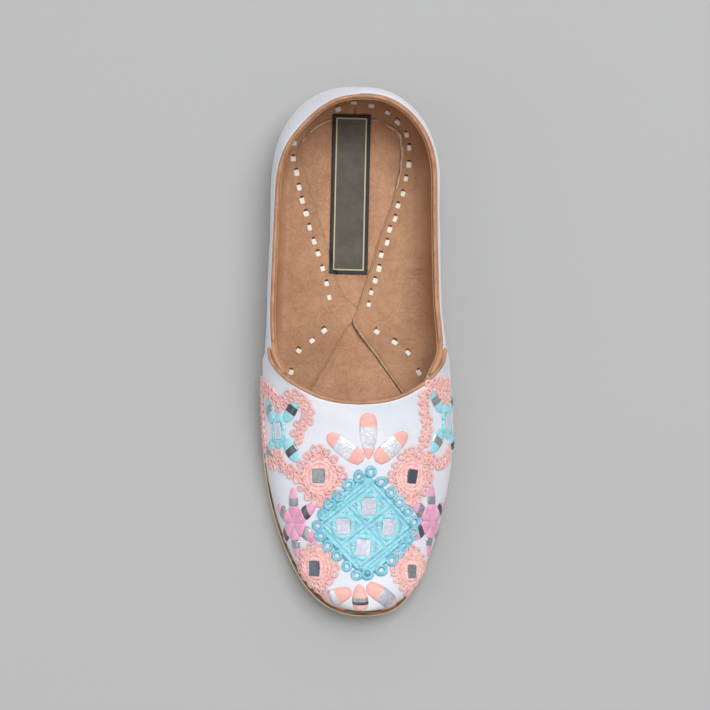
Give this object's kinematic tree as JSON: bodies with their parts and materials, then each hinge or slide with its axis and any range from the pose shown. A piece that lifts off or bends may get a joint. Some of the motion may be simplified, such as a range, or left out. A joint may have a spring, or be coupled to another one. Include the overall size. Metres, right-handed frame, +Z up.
{
  "type": "mojari shoe",
  "caption": "Flat leather slip-on shoe with a pointed round toe, a lapped vamp, a bound collar and an embroidered mirror-work upper.",
  "frame": {"origin": "middle of the outline at the ground", "axes": "toe towards -Y, heel towards +Y, +X to the right seen from above with the heel up, +Z up"},
  "size_m": [0.0916, 0.2499, 0.0591],
  "materials": {
    "outsole_leather": "burnished edge with a cream line",
    "midsole_leather": "layered brown edge",
    "lining_leather": "soft tan lining with fine wrinkles",
    "binding_leather": "smooth folded binding",
    "satin": "white satin over leather",
    "label_cloth": "plain woven patch",
    "thread_white": "cotton thread",
    "thread_aqua": "glossy embroidery thread",
    "thread_peach": "glossy embroidery thread",
    "thread_pink": "glossy embroidery thread",
    "mirror_glass": "small flat mirrors"
  },
  "bodies": {
    "root": {"outsole": "outsole_leather", "midsole": "midsole_leather", "insole": "lining_leather", "upper": "satin", "throat_bead": "binding_leather", "collar_bead": "binding_leather", "left_flap": "lining_leather", "right_flap": "lining_leather", "label_patch": "label_cloth"}
  },
  "joints": []
}
